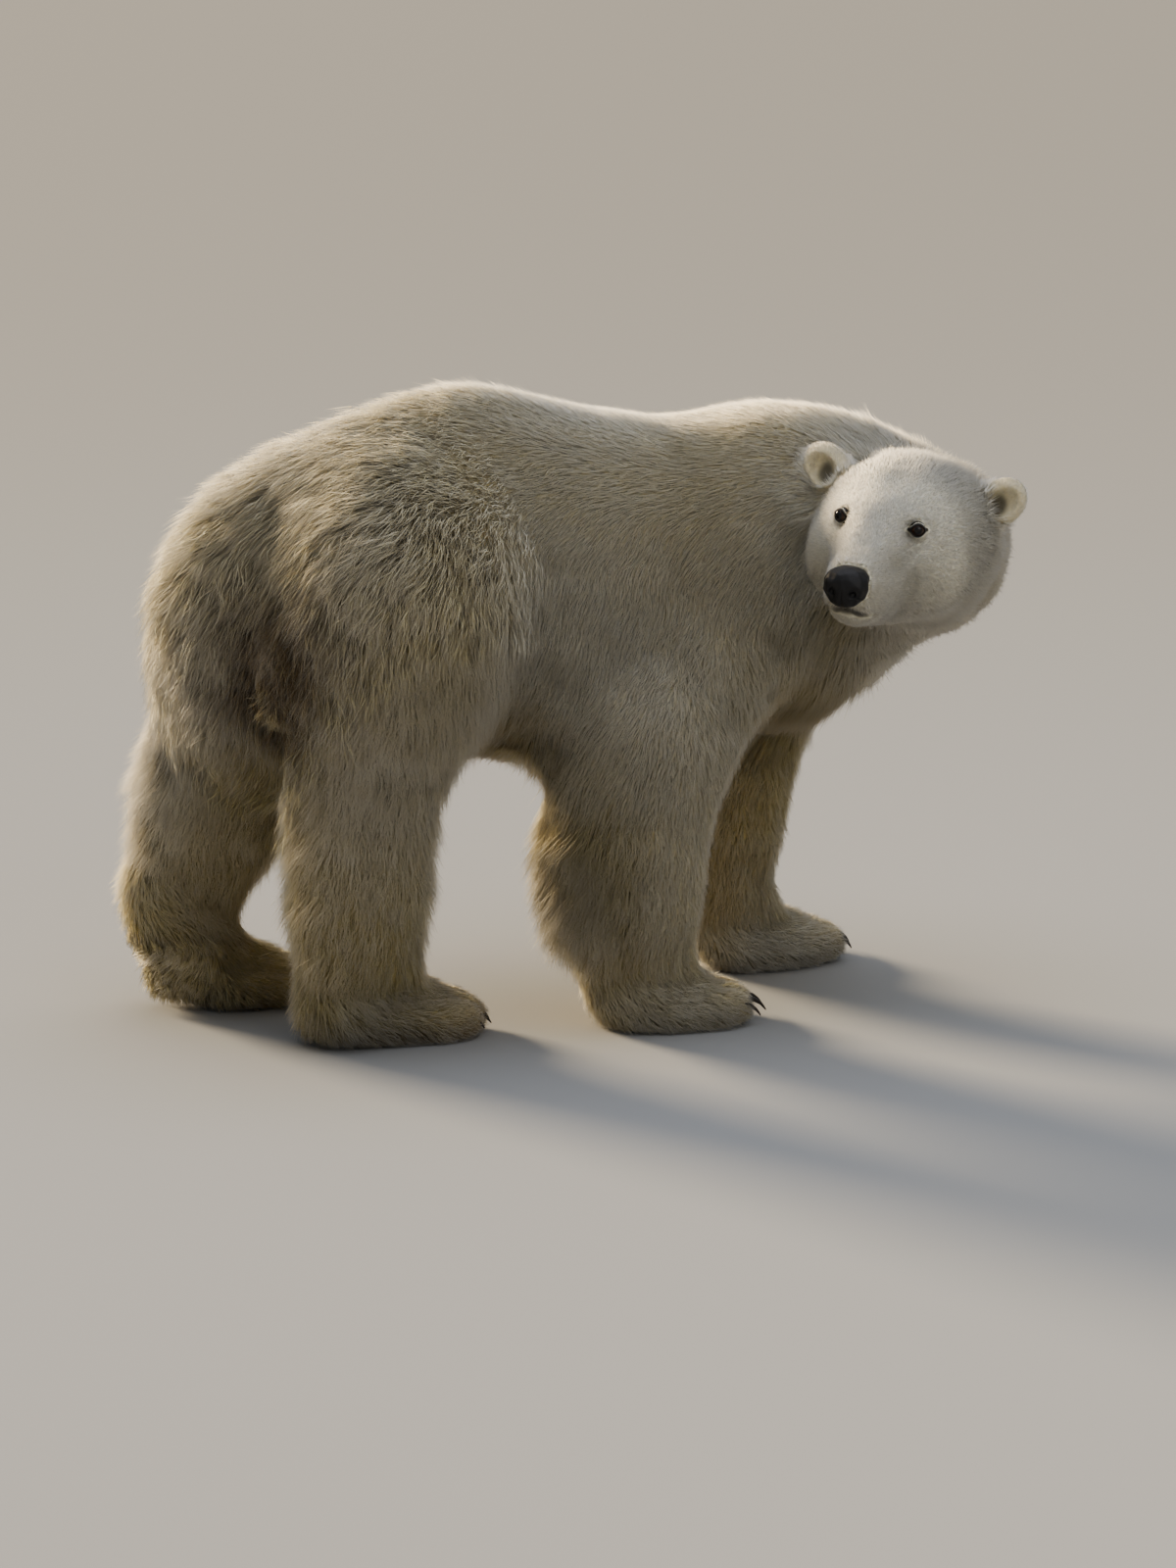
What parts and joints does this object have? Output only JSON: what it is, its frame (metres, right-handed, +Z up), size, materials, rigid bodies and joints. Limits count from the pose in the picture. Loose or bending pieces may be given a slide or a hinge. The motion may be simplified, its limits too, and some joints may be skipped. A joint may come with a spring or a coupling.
{
  "type": "polar bear",
  "caption": "Life-size still model of a standing polar bear in mid-stride that looks back over its right shoulder, on four paws on the floor.",
  "frame": {"origin": "middle of the footprint box of the whole animal, on the floor that it stands on", "axes": "+Z up, +Y towards the rump, -Y the way the trunk faces, +X the animal's left; the floor is z = 0"},
  "size_m": [1.0812, 1.5124, 1.1333],
  "materials": {
    "coat": "deep matt fur, cream white with yellow and brown stains",
    "nose_skin": "black, finely pebbled, slightly moist",
    "eye": "very dark brown, polished",
    "horn": "dark horn, satin"
  },
  "bodies": {
    "root": {"tail": "coat", "foreleg_right": "coat", "foreleg_left": "coat", "hindleg_right": "coat", "hindleg_left": "coat", "claw_forepaw_right_1": "horn", "claw_forepaw_right_2": "horn", "claw_forepaw_right_3": "horn", "claw_forepaw_right_4": "horn", "claw_forepaw_right_5": "horn", "forepaw_right": "coat", "claw_forepaw_left_1": "horn", "claw_forepaw_left_2": "horn", "claw_forepaw_left_3": "horn", "claw_forepaw_left_4": "horn", "claw_forepaw_left_5": "horn", "forepaw_left": "coat", "claw_hindpaw_right_1": "horn", "claw_hindpaw_right_2": "horn", "claw_hindpaw_right_3": "horn", "claw_hindpaw_right_4": "horn", "claw_hindpaw_right_5": "horn", "hindpaw_right": "coat", "claw_hindpaw_left_1": "horn", "claw_hindpaw_left_2": "horn", "claw_hindpaw_left_3": "horn", "claw_hindpaw_left_4": "horn", "claw_hindpaw_left_5": "horn", "hindpaw_left": "coat", "nose": "nose_skin", "ear_left": "coat", "eye_left": "eye", "ear_right": "coat", "eye_right": "eye", "trunk": "coat", "neck": "coat", "head": "coat"}
  },
  "joints": []
}
